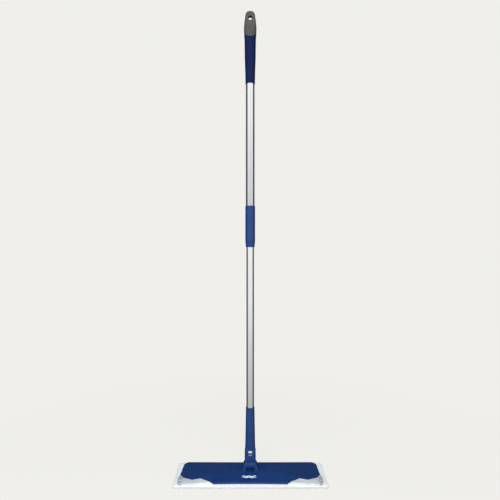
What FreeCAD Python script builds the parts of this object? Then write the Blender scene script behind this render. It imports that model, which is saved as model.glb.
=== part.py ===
"""Flat mop with a telescopic handle, as a parametric assembly of separate pieces.

Millimetres, +Z up. The origin lies on the floor at the centre of the pad's underside, below the handle.
-Y is the front of the mop and +X its right-hand side. The handle stands upright and the plate lies flat.
"""

import FreeCAD
import Part
import Sketcher

import os
import re

# Driving dimensions: name, value in millimetres (or degrees, or a plain ratio), meaning.
SIZES = [
    ("pad_length", 432, "pad, left to right"),
    ("pad_depth", 137, "pad, front to back"),
    ("pad_corner", 7, "pad corner radius"),
    ("pile_top", 3.5, "height of the microfibre layer"),
    ("core_top", 6.5, "height of the foam's upper face"),
    ("pad_top", 8, "height of the loop backing's upper face"),
    ("binding_width", 5, "width of the stitched edge binding"),
    ("soft_gap", 0.1, "gap between the binding and the layers inside it"),
    ("plate_front_half", 201.5, "half length of the plate at its front edge"),
    ("plate_rear_half", 197, "half length of the plate at its rear edge"),
    ("plate_half_depth", 57, "half depth of the plate at its corners"),
    ("rear_waist", 3.5, "how far the rear edge bows inwards"),
    ("front_waist", 2, "how far the front edge bows inwards"),
    ("front_corner", 14, "bumper corner radius, front"),
    ("rear_corner", 18.5, "plate corner radius, rear"),
    ("rim_top", 14, "height of the plate's upper rim"),
    ("front_slope", 0.12, "rise of the front facet"),
    ("side_slope", 0.04, "rise of the side facets"),
    ("rear_slope", 0.35, "rise of the narrow rear facet"),
    ("seat_half_x", 25, "bracket foot, half length"),
    ("seat_half_y", 17, "bracket foot, half depth"),
    ("seat_floor", 16.5, "height of the bracket's seat in the plate"),
    ("foot_top", 20.5, "height of the bracket foot's upper face"),
    ("fit_gap", 0.05, "radial or side gap of a close fit"),
    ("strip_half", 188, "hook strip, half length"),
    ("strip_near", 22, "hook strip, edge nearer the middle"),
    ("strip_far", 47, "hook strip, edge nearer the rim"),
    ("strip_thick", 1.6, "hook strip thickness"),
    ("core_pocket_depth", 4, "depth of the lightening pockets under the plate"),
    ("core_pocket_half", 18, "half depth, front to back, of a lightening pocket"),
    ("core_pocket_start", 36, "first lightening pocket"),
    ("core_pocket_length", 25, "length of a lightening pocket"),
    ("core_pocket_pitch", 30, "spacing of the lightening pockets"),
    ("bumper_seat", 11, "height of the ledge under a bumper"),
    ("bumper_proud", 0.7, "height of a bumper above the plate facets"),
    ("bumper_half", 203, "half length across the bumpers"),
    ("bumper_front", 65, "distance of the bumper's front edge from the middle, at its corner"),
    ("bumper_knee_x", 187, "where the bumper's front edge meets its corner"),
    ("bumper_lip", 5, "depth of the bumper's lip inside the plate's outline"),
    ("tip_x", 199, "bumper outline, rear tip"),
    ("tip_y", 19, "bumper outline, rear tip"),
    ("notch_x", 189, "bumper outline, notch beside the tip"),
    ("notch_y", 35, "bumper outline, notch beside the tip"),
    ("trough_x", 162.5, "bumper outline, trough"),
    ("trough_y", 48, "bumper outline, trough"),
    ("peak_x", 139.5, "bumper outline, peak"),
    ("peak_y", 41.5, "bumper outline, peak"),
    ("toe_x", 111, "bumper outline, toe on the front edge"),
    ("lip_toe_x", 105, "toe of the bumper's lip on the front edge"),
    ("rib_rise", 1.6, "height of the bumper's outer rib above its facet"),
    ("rib_inset", 1.6, "distance of the rib from the bumper's outer side"),
    ("rib_end_y", 50, "front end of the rib"),
    ("tilt_z", 36.5, "height of the tilt axis"),
    ("swing_z", 73.5, "height of the swing axis"),
    ("barrel_radius", 13, "yoke barrel and ears"),
    ("barrel_half", 12.2, "half length of the yoke barrel"),
    ("ear_inner", 12.4, "inner face of an ear"),
    ("ear_top_half", 15.4, "outer face of an ear at its top"),
    ("ear_shoulder_half", 20, "outer face of an ear where its hollow flank ends"),
    ("ear_shoulder", 36.5, "height there"),
    ("ear_foot_half", 24.4, "outer face of an ear at its foot"),
    ("ear_flank", 28, "radius of the ear's hollow outer flank"),
    ("tilt_pin_radius", 3, "tilt pin"),
    ("tilt_pin_half", 18.6, "half length of the tilt pin"),
    ("screw_x", 16.8, "bracket screw position"),
    ("screw_y", 6.5, "bracket screw position"),
    ("screw_radius", 1.75, "bracket screw shank"),
    ("screw_head_radius", 3.4, "bracket screw head"),
    ("screw_head_top", 11.6, "height of the bracket screw head's seat"),
    ("screw_head_bottom", 9.4, "height of the bracket screw head's lower face"),
    ("screw_tip", 31, "height of the bracket screw tip"),
    ("tongue_half_x", 12, "half width of the yoke tongue"),
    ("tongue_half_y", 6, "half thickness of the yoke tongue"),
    ("washer_thick", 0.4, "friction washer"),
    ("washer_radius", 10, "friction washer"),
    ("swing_pin_radius", 4, "swing pin shank"),
    ("swing_head_radius", 7.8, "swing pin head and nut"),
    ("swing_head_rise", 2.6, "height of the pin head's dome"),
    ("swing_head_base", 0.4, "thickness of the pin head's flange under the dome"),
    ("swing_rim_rise", 0.9, "height of the pin head's rim"),
    ("swing_rim_inner", 6.5, "inner radius of the pin head's rim"),
    ("socket_half_x", 16, "half width of the socket fork"),
    ("socket_half_y", 13.4, "half depth of the socket fork"),
    ("socket_end_radius", 23, "rounded end of the fork, about the swing axis"),
    ("fork_slot_half", 6.5, "half width of the slot in the fork"),
    ("fork_slot_rise", 13, "height of the slot above the swing axis"),
    ("socket_top", 202, "height of the socket's upper end"),
    ("socket_top_half", 12.35, "half width of the socket at its upper end"),
    ("socket_mid", 106, "height where the socket's taper ends"),
    ("socket_mid_half", 14, "half width there"),
    ("socket_step", 86, "height where the fork starts"),
    ("socket_step_half", 14.6, "half width there"),
    ("fork_full", 76, "height where the fork has its full width"),
    ("socket_bore_floor", 128, "height of the lower tube's end in the socket"),
    ("lower_tube_radius", 11, "lower tube"),
    ("tube_wall", 1.2, "wall of both tubes"),
    ("lower_tube_top", 790, "height of the lower tube's upper end"),
    ("plug_length", 34, "plug in the lower tube's end"),
    ("socket_screw_z", 150, "height of the socket screw"),
    ("socket_screw_radius", 1.6, "socket screw shank"),
    ("socket_screw_head", 3.3, "socket screw head radius"),
    ("upper_tube_radius", 12.7, "upper tube"),
    ("upper_tube_bottom", 690, "height of the upper tube's lower end"),
    ("upper_tube_top", 1262, "height of the upper tube's upper end"),
    ("collar_bottom", 665, "height of the collar's lower end"),
    ("collar_top", 784.6, "height of the collar's upper end"),
    ("collar_radius", 14.2, "collar"),
    ("collar_nose_radius", 12.4, "collar at its lower end"),
    ("collar_nose", 18, "length of the collar's tapered nose"),
    ("collar_lip", 3, "thickness of the lip that holds the bush"),
    ("core_stem", 28, "length of the lock core inside the lower tube"),
    ("core_flange", 3, "thickness of the lock core's lower flange"),
    ("cam_radius", 7, "eccentric of the lock core"),
    ("cam_offset", 0.7, "offset of the eccentric from the tube axis"),
    ("cam_length", 25, "length of the eccentric"),
    ("core_cap", 4, "thickness of the lock core's upper flange"),
    ("ring_radius", 11.35, "lock ring, outside"),
    ("ring_bore", 8.1, "lock ring, eccentric bore"),
    ("ring_split", 2, "width of the lock ring's split"),
    ("ring_gap", 0.3, "end gap of the lock ring"),
    ("end_plug_length", 30, "plug in the upper tube's upper end"),
    ("end_plug_flange", 3, "thickness of that plug's flange"),
    ("grip_bottom", 1137.5, "height of the grip's lower end"),
    ("grip_bottom_half", 13.65, "half width of the grip at its lower end"),
    ("cap_seam_radius", 19, "arc of the seam between grip and cap"),
    ("cap_seam_low", 1271, "height of the seam's lowest point"),
    ("spigot_radius", 7, "spigot of the grip inside the cap"),
    ("spigot_top", 1296, "height of the spigot's top"),
    ("hole_z", 1327.5, "height of the hanging hole"),
    ("hole_radius", 6.25, "hanging hole"),
    ("cap_top", 1349.5, "height of the cap's top"),
    ("cap_half_depth", 6.2, "half depth of the cap around the hanging hole"),
]

# Cross-sections of the grip and cap, from the lower end up: height, half width, half depth, corner radius.
GRIP_SECTIONS = [
    ("grip_bottom", "grip_bottom_half", "grip_bottom_half", "grip_bottom_half - 0.3"),
    ("grip_bottom + 12", "13.9", "13.9", "13.6"),
    ("grip_bottom + 40", "14.6", "14.5", "14.1"),
    ("grip_bottom + 72", "15.8", "15.4", "14.9"),
    ("grip_bottom + 105", "16.2", "15.7", "15.2"),
    ("grip_bottom + 128", "16.6", "15.6", "15.0"),
    ("grip_bottom + 141", "17.4", "15.4", "14.7"),
    ("grip_bottom + 152", "18.1", "14.6", "13.8"),
    ("grip_bottom + 159", "18.1", "13.2", "12.5"),
    ("grip_bottom + 166", "17.9", "11.0", "10.4"),
    ("grip_bottom + 173", "17.4", "8.8", "8.3"),
    ("hole_z - 9", "16.7", "7.0", "6.6"),
    ("hole_z - 6.5", "16.4", "cap_half_depth", "cap_half_depth - 0.3"),
    ("hole_z + 6.5", "14.5", "cap_half_depth", "cap_half_depth - 0.3"),
    ("cap_top - 10", "13.6", "6.1", "5.8"),
    ("cap_top - 6.5", "12.6", "5.9", "5.6"),
    ("cap_top - 4", "10.7", "5.4", "5.1"),
    ("cap_top - 2", "7.9", "4.5", "4.2"),
    ("cap_top - 0.8", "5.6", "3.4", "3.1"),
    ("cap_top", "3.6", "1.9", "1.6"),
]

ALIASES = re.compile(r"\b(" + "|".join(sorted((row[0] for row in SIZES), key=len, reverse=True)) + r")\b")
FAR = "400"
ABOVE = "60"

doc = FreeCAD.newDocument("flat_mop")
sheet = doc.addObject("Spreadsheet::Sheet", "Sizes")


def fill_sheet():
    """One row per driving dimension: its name, its value under that alias, and what it means."""
    for row, (name, size, meaning) in enumerate(SIZES, start=1):
        sheet.set(f"A{row}", name)
        sheet.set(f"B{row}", str(size))
        sheet.setAlias(f"B{row}", name)
        sheet.set(f"C{row}", meaning)
    doc.recompute()


def bound(formula):
    """The formula with every driving dimension read from the sheet."""
    return ALIASES.sub(r"Sizes.\1", str(formula))


def value(formula):
    return float(sheet.evalExpression(bound(formula)))


# ---------------------------------------------------------------- drawing


def new_body(label):
    body = doc.addObject("PartDesign::Body", label)
    body.Label = label
    return body


def new_sketch(body, name, plane, offset=None):
    """An empty sketch on one of the body's own origin planes, moved along that plane's normal by offset."""
    sketch = body.newObject("Sketcher::SketchObject", f"{body.Name}_{name}")
    origin_plane = [f for f in body.Origin.OriginFeatures if f.Role == plane][0]
    sketch.AttachmentSupport = [(origin_plane, "")]
    sketch.MapMode = "FlatFace"
    if offset is not None:
        sketch.AttachmentOffset.Base.z = value(offset)
        sketch.setExpression("AttachmentOffset.Base.z", bound(offset))
    return sketch


def fix(sketch, kind, place, formula):
    """A dimension of the sketch, driven by the formula."""
    index = sketch.addConstraint(Sketcher.Constraint(kind, *place, value(formula)))
    sketch.setExpression(f"Constraints[{index}]", bound(formula))


def arc_middle(start, end, radius, side):
    """The middle of an arc from start to end that bulges to the right (+1) or left (-1) of the way along."""
    chord = end - start
    half = chord.Length / 2
    across = FreeCAD.Vector(chord.y, -chord.x, 0).normalize()
    rise = radius - (radius**2 - half**2) ** 0.5
    return (start + end) * 0.5 + across * (side * rise)


def outline(sketch, corners):
    """A closed outline; a corner is (x, y), or (x, y, radius, side) if an arc leads to the next one."""
    points = [FreeCAD.Vector(value(c[0]), value(c[1]), 0) for c in corners]
    first = sketch.GeometryCount
    ends = []
    for i, corner in enumerate(corners):
        start = points[i]
        end = points[(i + 1) % len(points)]
        if len(corner) == 2:
            sketch.addGeometry(Part.LineSegment(start, end))
            ends.append((1, 2))
            continue
        middle = arc_middle(start, end, value(corner[2]), corner[3])
        index = sketch.addGeometry(Part.Arc(start, middle, end))
        to_first = (sketch.getPoint(index, 1) - start).Length
        to_second = (sketch.getPoint(index, 2) - start).Length
        ends.append((1, 2) if to_first < to_second else (2, 1))
    for i, corner in enumerate(corners):
        following = (i + 1) % len(corners)
        place = (first + i, ends[i][1], first + following, ends[following][0])
        sketch.addConstraint(Sketcher.Constraint("Coincident", *place))
    for i, corner in enumerate(corners):
        fix(sketch, "DistanceX", (-1, 1, first + i, ends[i][0]), corner[0])
        fix(sketch, "DistanceY", (-1, 1, first + i, ends[i][0]), corner[1])
        if len(corner) > 2:
            fix(sketch, "Radius", (first + i,), corner[2])


def rectangle(sketch, left, right, low, high):
    outline(sketch, [(left, low), (right, low), (right, high), (left, high)])


def rounded_rectangle(sketch, half_x, half_y, radius):
    """A rectangle about the sketch's origin with rounded corners."""
    x, y, r = f"({half_x})", f"({half_y})", f"({radius})"
    outline(
        sketch,
        [
            (f"{r} - {x}", f"-{y}"),
            (f"{x} - {r}", f"-{y}", r, 1),
            (x, f"{r} - {y}"),
            (x, f"{y} - {r}", r, 1),
            (f"{x} - {r}", y),
            (f"{r} - {x}", y, r, 1),
            (f"-{x}", f"{y} - {r}"),
            (f"-{x}", f"{r} - {y}", r, 1),
        ],
    )


def circle(sketch, x, y, radius):
    centre = FreeCAD.Vector(value(x), value(y), 0)
    index = sketch.addGeometry(Part.Circle(centre, FreeCAD.Vector(0, 0, 1), value(radius)))
    fix(sketch, "DistanceX", (-1, 1, index, 3), x)
    fix(sketch, "DistanceY", (-1, 1, index, 3), y)
    fix(sketch, "Radius", (index,), radius)


# ---------------------------------------------------------------- features


def pad(body, sketch, length, midplane=False):
    feature = body.newObject("PartDesign::Pad", f"{sketch.Name}_pad")
    feature.Profile = sketch
    feature.setExpression("Length", bound(length))
    feature.Midplane = midplane
    sketch.Visibility = False
    doc.recompute()
    return feature


def pocket(body, sketch, depth, midplane=False, upwards=False):
    """Cuts from the sketch; the cut goes against the sketch's normal, or along it when upwards is set."""
    before = body.Tip.Shape.Volume
    feature = body.newObject("PartDesign::Pocket", f"{sketch.Name}_pocket")
    feature.Profile = sketch
    feature.setExpression("Length", bound(depth))
    feature.Midplane = midplane
    feature.Reversed = upwards
    sketch.Visibility = False
    doc.recompute()
    if feature.Shape.Volume > before - 0.5:
        raise RuntimeError(f"{feature.Name} cuts nothing")
    return feature


def revolve(body, sketch):
    """Turns the sketch once about its own vertical axis."""
    feature = body.newObject("PartDesign::Revolution", f"{sketch.Name}_turned")
    feature.Profile = sketch
    feature.ReferenceAxis = (sketch, ["V_Axis"])
    feature.Angle = 360
    sketch.Visibility = False
    doc.recompute()
    return feature


def loft(body, sketches):
    feature = body.newObject("PartDesign::AdditiveLoft", f"{body.Name}_loft")
    feature.Profile = sketches[0]
    feature.Sections = sketches[1:]
    feature.Ruled = True
    doc.recompute()
    return feature


def fillet(body, radius, chosen):
    """Rounds the edges of the body's last feature for which chosen(edge) is true."""
    base = body.Tip
    names = [f"Edge{i}" for i, edge in enumerate(base.Shape.Edges, start=1) if chosen(edge)]
    feature = body.newObject("PartDesign::Fillet", f"{body.Name}_fillet_{len(body.Group)}")
    feature.Base = (base, names)
    feature.setExpression("Radius", bound(radius))
    doc.recompute()
    return feature


def upright(edge):
    """Whether an edge runs straight up and down."""
    first, last = edge.Vertexes[0].Point, edge.Vertexes[-1].Point
    return abs(first.x - last.x) < 0.01 and abs(first.y - last.y) < 0.01 and abs(first.z - last.z) > 1


def turned(label, profile):
    """A piece turned about the Z axis; the profile's corners are (radius, height)."""
    body = new_body(label)
    sketch = new_sketch(body, "profile", "XZ_Plane")
    outline(sketch, profile)
    revolve(body, sketch)
    return body


def tube(label, inner, outer, bottom, top):
    return turned(label, [(inner, bottom), (outer, bottom), (outer, top), (inner, top)])


def slab(label, half_x, half_y, radius, bottom, top):
    """A flat layer with rounded corners, between two heights."""
    body = new_body(label)
    sketch = new_sketch(body, "outline", "XY_Plane", bottom)
    rounded_rectangle(sketch, half_x, half_y, radius)
    pad(body, sketch, f"{top} - ({bottom})")
    return body


# ---------------------------------------------------------------- pad


def pad_pile():
    return slab("pad_pile", "pad_length / 2", "pad_depth / 2", "pad_corner", "0", "pile_top")


def pad_inner_layer(label, bottom, top):
    inset = "binding_width - soft_gap"
    half_x = f"pad_length / 2 - ({inset}) - 2 * soft_gap"
    half_y = f"pad_depth / 2 - ({inset}) - 2 * soft_gap"
    return slab(label, half_x, half_y, "pad_corner / 2", bottom, top)


def pad_core():
    return pad_inner_layer("pad_core", "pile_top", "core_top")


def pad_backing():
    return pad_inner_layer("pad_backing", "core_top", "pad_top")


def pad_binding():
    """A frame around the foam and backing, on the margin of the pile."""
    body = new_body("pad_binding")
    sketch = new_sketch(body, "outline", "XY_Plane", "pile_top")
    rounded_rectangle(sketch, "pad_length / 2", "pad_depth / 2", "pad_corner")
    rounded_rectangle(
        sketch, "pad_length / 2 - binding_width", "pad_depth / 2 - binding_width", "pad_corner / 2"
    )
    pad(body, sketch, "pad_top - pile_top")
    return body


# ---------------------------------------------------------------- head


def facet_height(y_formula):
    """Height of the front facet's plane at a distance from the middle."""
    return f"rim_top + front_slope * ({y_formula} + plate_half_depth)"


def cut_facets(body, rise):
    """Cuts the roof-shaped top: front, rear and side facets, all moved up by rise."""
    ridge_y = "plate_half_depth * (rear_slope - front_slope) / (rear_slope + front_slope)"
    across = new_sketch(body, "front_and_rear_facets", "YZ_Plane")
    outline(
        across,
        [
            ("-100", f"{facet_height('-100')} + {rise}"),
            (ridge_y, f"{facet_height(ridge_y)} + {rise}"),
            ("100", f"rim_top + rear_slope * (plate_half_depth - 100) + {rise}"),
            ("100", ABOVE),
            ("-100", ABOVE),
        ],
    )
    pocket(body, across, f"2 * {FAR}", midplane=True)
    along = new_sketch(body, "side_facets", "XZ_Plane")
    outer = f"rim_top + side_slope * (plate_front_half - {FAR}) + {rise}"
    outline(
        along,
        [
            (f"-{FAR}", outer),
            ("0", f"rim_top + side_slope * plate_front_half + {rise}"),
            (FAR, outer),
            (FAR, ABOVE),
            (f"-{FAR}", ABOVE),
        ],
    )
    pocket(body, along, FAR, midplane=True)


def bumper_outline(side):
    """The zigzag inner edge of a bumper, from its rear tip to its toe on the plate's front edge."""
    return [
        (f"{side} * tip_x", "-tip_y"),
        (f"{side} * notch_x", "-notch_y"),
        (f"{side} * trough_x", "-trough_y"),
        (f"{side} * peak_x", "-peak_y"),
        (f"{side} * toe_x", "-plate_half_depth"),
    ]


def lip_outline(side):
    """The inner edge of the lip that wraps around the plate's edge, from the bumper's tip to its toe."""
    lip_x = "plate_front_half - bumper_lip"
    lip_y = "plate_half_depth - bumper_lip"
    return [
        (f"{side} * tip_x", "-tip_y"),
        (f"{side} * ({lip_x})", "-tip_y - 4"),
        (f"{side} * ({lip_x})", f"-({lip_y} - 8)"),
        (f"{side} * ({lip_x} - 8)", f"-({lip_y})"),
        (f"{side} * (lip_toe_x + 9)", f"-({lip_y})"),
        (f"{side} * lip_toe_x", "-plate_half_depth"),
    ]


def bumper_rim(side, toe):
    """The outer edge of a bumper, from its toe around the corner to its rear tip."""
    spread = "(bumper_front - plate_half_depth) / (bumper_knee_x - lip_toe_x)"
    toe_y = f"-plate_half_depth - ({toe} + 1 - lip_toe_x) * {spread}"
    return [
        (f"{side} * ({toe} + 1)", toe_y),
        (f"{side} * bumper_knee_x", "-bumper_front", "front_corner", int(side)),
        (f"{side} * bumper_half", "front_corner - bumper_front"),
        (f"{side} * bumper_half", "-tip_y - 12"),
    ]


def plate_blank(body):
    """The plate's outline, slightly waisted at the front and rear, as a block."""
    sketch = new_sketch(body, "outline", "XY_Plane", "pad_top")
    rear_radius = "(plate_rear_half ^ 2 + rear_waist ^ 2) / (2 * rear_waist)"
    front_radius = "(lip_toe_x ^ 2 + front_waist ^ 2) / (2 * front_waist)"
    outline(
        sketch,
        [
            ("-plate_front_half", "-plate_half_depth"),
            ("-lip_toe_x", "-plate_half_depth", front_radius, -1),
            ("lip_toe_x", "-plate_half_depth"),
            ("plate_front_half", "-plate_half_depth"),
            ("plate_rear_half", "plate_half_depth", rear_radius, -1),
            ("-plate_rear_half", "plate_half_depth"),
        ],
    )
    pad(body, sketch, "20")


def cut_bumper_seats(body):
    """The ledge under each bumper, and the edge that its lip takes the place of."""
    for side, name in (("-1", "left"), ("1", "right")):
        beyond = [(f"{side} * {FAR}", "-100"), (f"{side} * {FAR}", "-tip_y")]
        ledge = new_sketch(body, f"ledge_{name}", "XY_Plane", "bumper_seat")
        outline(ledge, bumper_outline(side) + [(f"{side} * toe_x", "-100")] + beyond)
        pocket(body, ledge, ABOVE, upwards=True)
        edge = new_sketch(body, f"edge_{name}", "XY_Plane", "0")
        outline(edge, lip_outline(side) + [(f"{side} * lip_toe_x", "-100")] + beyond)
        pocket(body, edge, ABOVE, upwards=True)


def cut_underside(body):
    """Recesses for the hook strips and two rows of lightening pockets, all open downwards."""
    strips = new_sketch(body, "strip_recesses", "XY_Plane", "pad_top")
    for near, far in (("strip_near", "strip_far"), ("-strip_far", "-strip_near")):
        rectangle(strips, "-strip_half - 0.3", "strip_half + 0.3", f"{near} - 0.3", f"{far} + 0.3")
    pocket(body, strips, "strip_thick", upwards=True)
    cores = new_sketch(body, "lightening_pockets", "XY_Plane", "pad_top")
    for step in range(5):
        start = f"(core_pocket_start + {step} * core_pocket_pitch)"
        end = f"({start} + core_pocket_length)"
        rectangle(cores, start, end, "-core_pocket_half", "core_pocket_half")
        rectangle(cores, f"-{end}", f"-{start}", "-core_pocket_half", "core_pocket_half")
    pocket(body, cores, "core_pocket_depth", upwards=True)


def screw_circles(sketch, radius):
    for x in ("-screw_x", "screw_x"):
        for y in ("-screw_y", "screw_y"):
            circle(sketch, x, y, radius)


def head_shell():
    """The faceted plate, with a seat for the hinge bracket and ledges for the bumpers."""
    body = new_body("head_shell")
    plate_blank(body)
    fillet(body, "rear_corner", lambda edge: upright(edge) and edge.Vertexes[0].Y > 40)
    cut_facets(body, "0")
    cut_bumper_seats(body)
    seat = new_sketch(body, "bracket_seat", "XY_Plane", "seat_floor")
    rounded_rectangle(seat, "seat_half_x + fit_gap", "seat_half_y + fit_gap", "6")
    pocket(body, seat, ABOVE, upwards=True)
    cut_underside(body)
    heads = new_sketch(body, "screw_heads", "XY_Plane", "0")
    screw_circles(heads, "screw_head_radius + 0.4")
    pocket(body, heads, "screw_head_top", upwards=True)
    holes = new_sketch(body, "screw_holes", "XY_Plane", "0")
    screw_circles(holes, "screw_radius + 0.2")
    pocket(body, holes, ABOVE, upwards=True)
    return body


def hinge_bracket():
    """A foot with two ears that hold the tilt pin; the ears widen from their tops in a hollow curve."""
    body = new_body("hinge_bracket")
    foot = new_sketch(body, "foot", "XY_Plane", "seat_floor")
    rounded_rectangle(foot, "seat_half_x", "seat_half_y", "6")
    pad(body, foot, "foot_top - seat_floor")
    ears = new_sketch(body, "ears", "YZ_Plane")
    outline(
        ears,
        [
            ("-barrel_radius", "seat_floor + 1"),
            ("barrel_radius", "seat_floor + 1"),
            ("barrel_radius", "tilt_z", "barrel_radius", 1),
            ("0", "tilt_z + barrel_radius", "barrel_radius", 1),
            ("-barrel_radius", "tilt_z"),
        ],
    )
    pad(body, ears, "2 * ear_foot_half", midplane=True)
    trim = new_sketch(body, "gap_and_flanks", "XZ_Plane")
    rectangle(trim, "-ear_inner", "ear_inner", "foot_top", ABOVE)
    for side in (1, -1):
        outline(
            trim,
            [
                (f"{side} * ear_foot_half", "foot_top"),
                (f"{side} * ear_shoulder_half", "ear_shoulder", "ear_flank", -side),
                (f"{side} * ear_top_half", "tilt_z + barrel_radius"),
                (f"{side} * ear_top_half", ABOVE),
                (f"{side} * 60", ABOVE),
                (f"{side} * 60", "foot_top"),
            ],
        )
    pocket(body, trim, "100", midplane=True)
    pin_hole = new_sketch(body, "pin_hole", "YZ_Plane")
    circle(pin_hole, "0", "tilt_z", "tilt_pin_radius")
    pocket(body, pin_hole, "100", midplane=True)
    pilots = new_sketch(body, "screw_pilots", "XY_Plane", "0")
    screw_circles(pilots, "screw_radius + fit_gap")
    pocket(body, pilots, "screw_tip + 1", upwards=True)
    return body


def bracket_screws():
    """Four pan-head screws that hold the bracket from below."""
    screws = []
    for x in ("-screw_x", "screw_x"):
        for y in ("-screw_y", "screw_y"):
            head = doc.addObject("Part::Cylinder", "screw_head")
            head.setExpression("Radius", bound("screw_head_radius"))
            head.setExpression("Height", bound("screw_head_top - screw_head_bottom"))
            head.setExpression("Placement.Base.z", bound("screw_head_bottom"))
            shank = doc.addObject("Part::Cylinder", "screw_shank")
            shank.setExpression("Radius", bound("screw_radius"))
            shank.setExpression("Height", bound("screw_tip - screw_head_top"))
            shank.setExpression("Placement.Base.z", bound("screw_head_top"))
            point = doc.addObject("Part::Cone", "screw_point")
            point.setExpression("Radius1", bound("screw_radius"))
            point.setExpression("Radius2", bound("screw_radius / 4"))
            point.setExpression("Height", bound("screw_radius / 2"))
            point.setExpression("Placement.Base.z", bound("screw_tip"))
            screw = doc.addObject("Part::MultiFuse", "screw")
            screw.Shapes = [head, shank, point]
            screw.setExpression("Placement.Base.x", bound(x))
            screw.setExpression("Placement.Base.y", bound(y))
            screws.append(screw)
    group = doc.addObject("Part::Compound", "bracket_screws")
    group.Label = "bracket_screws"
    group.Links = screws
    doc.recompute()
    return group


def corner_bumper(label, side):
    """A rubber corner: a pointed cover on the plate's ledge, a lip around its edge and a rib at the side."""
    body = new_body(label)
    cover = new_sketch(body, "cover", "XY_Plane", "bumper_seat")
    outline(cover, bumper_outline(side) + bumper_rim(side, "toe_x"))
    pad(body, cover, "20")
    cut_facets(body, "bumper_proud")
    lip = new_sketch(body, "lip", "XY_Plane", "pad_top")
    outline(lip, lip_outline(side) + bumper_rim(side, "lip_toe_x"))
    pad(body, lip, "bumper_seat - pad_top")
    rib = new_sketch(body, "rib", "XY_Plane", "bumper_seat + 0.5")
    outer = f"{side} * (bumper_half - rib_inset)"
    inner = f"{side} * (notch_x + 1.5)"
    outline(
        rib,
        [
            (outer, "-tip_y - 8"),
            (f"{side} * (tip_x - 1)", "-tip_y - 3.5"),
            (inner, "-notch_y"),
            (inner, "-rib_end_y + 4"),
            (f"{side} * (notch_x + 5)", "-rib_end_y"),
            (outer, "-rib_end_y"),
        ],
    )
    pad(body, rib, "rim_top + bumper_proud + rib_rise - bumper_seat - 0.5")
    return body


def hook_strip(label, near, far):
    body = new_body(label)
    sketch = new_sketch(body, "outline", "XY_Plane", "pad_top")
    rectangle(sketch, "-strip_half", "strip_half", near, far)
    pad(body, sketch, "strip_thick")
    return body


def tilt_pin():
    body = new_body("tilt_pin")
    sketch = new_sketch(body, "section", "YZ_Plane")
    circle(sketch, "0", "tilt_z", "tilt_pin_radius - fit_gap / 5")
    pad(body, sketch, "2 * tilt_pin_half", midplane=True)
    return body


# ---------------------------------------------------------------- yoke


def yoke():
    """The cross piece: a barrel on the tilt pin and an upright tongue on the swing pin."""
    body = new_body("yoke")
    barrel = new_sketch(body, "barrel", "YZ_Plane")
    circle(barrel, "0", "tilt_z", "barrel_radius")
    pad(body, barrel, "2 * barrel_half", midplane=True)
    tongue = new_sketch(body, "tongue", "XZ_Plane")
    outline(
        tongue,
        [
            ("-tongue_half_x", "tilt_z"),
            ("tongue_half_x", "tilt_z"),
            ("tongue_half_x", "swing_z", "tongue_half_x", 1),
            ("0", "swing_z + tongue_half_x", "tongue_half_x", 1),
            ("-tongue_half_x", "swing_z"),
        ],
    )
    pad(body, tongue, "2 * tongue_half_y", midplane=True)
    tilt_bore = new_sketch(body, "tilt_bore", "YZ_Plane")
    circle(tilt_bore, "0", "tilt_z", "tilt_pin_radius + fit_gap")
    pocket(body, tilt_bore, "100", midplane=True)
    swing_bore = new_sketch(body, "swing_bore", "XZ_Plane")
    circle(swing_bore, "0", "swing_z", "swing_pin_radius + fit_gap")
    pocket(body, swing_bore, "100", midplane=True)
    return body


# ---------------------------------------------------------------- socket and lower tube


def turned_on_y(label, height, profile):
    """A piece turned about a front-to-back axis; the profile's corners are (radius, distance along Y)."""
    body = new_body(label)
    sketch = new_sketch(body, "profile", "XY_Plane", height)
    outline(sketch, profile)
    revolve(body, sketch)
    return body


def swing_head(side):
    """Profile of a pin or nut head on one cheek, from the axis outwards: dome, raised rim and thin flange."""
    rise = "(swing_head_rise - swing_head_base)"
    dome = f"(swing_rim_inner ^ 2 + {rise} ^ 2) / (2 * {rise})"
    face = f"{side} * socket_half_y"
    return [
        ("0", f"{face} + {side} * swing_head_rise", dome, -int(side)),
        ("swing_rim_inner", f"{face} + {side} * swing_head_base"),
        ("swing_rim_inner + 0.3", f"{face} + {side} * swing_rim_rise"),
        ("swing_head_radius - 0.5", f"{face} + {side} * swing_rim_rise"),
        ("swing_head_radius", f"{face} + {side} * (swing_rim_rise - 0.5)"),
        ("swing_head_radius", face),
    ]


def swing_pin():
    """Shank through the fork and yoke, with its head on the front cheek."""
    shank = [
        ("swing_pin_radius - fit_gap", "-socket_half_y"),
        ("swing_pin_radius - fit_gap", "socket_half_y - 3"),
        ("0", "socket_half_y - 3"),
    ]
    return turned_on_y("swing_pin", "swing_z", swing_head("-1") + shank)


def swing_nut():
    """Cap nut in the rear cheek."""
    stem = [
        ("swing_pin_radius - fit_gap", "socket_half_y"),
        ("swing_pin_radius - fit_gap", "socket_half_y - 3 + fit_gap"),
        ("0", "socket_half_y - 3 + fit_gap"),
    ]
    return turned_on_y("swing_nut", "swing_z", swing_head("1") + stem)


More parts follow.
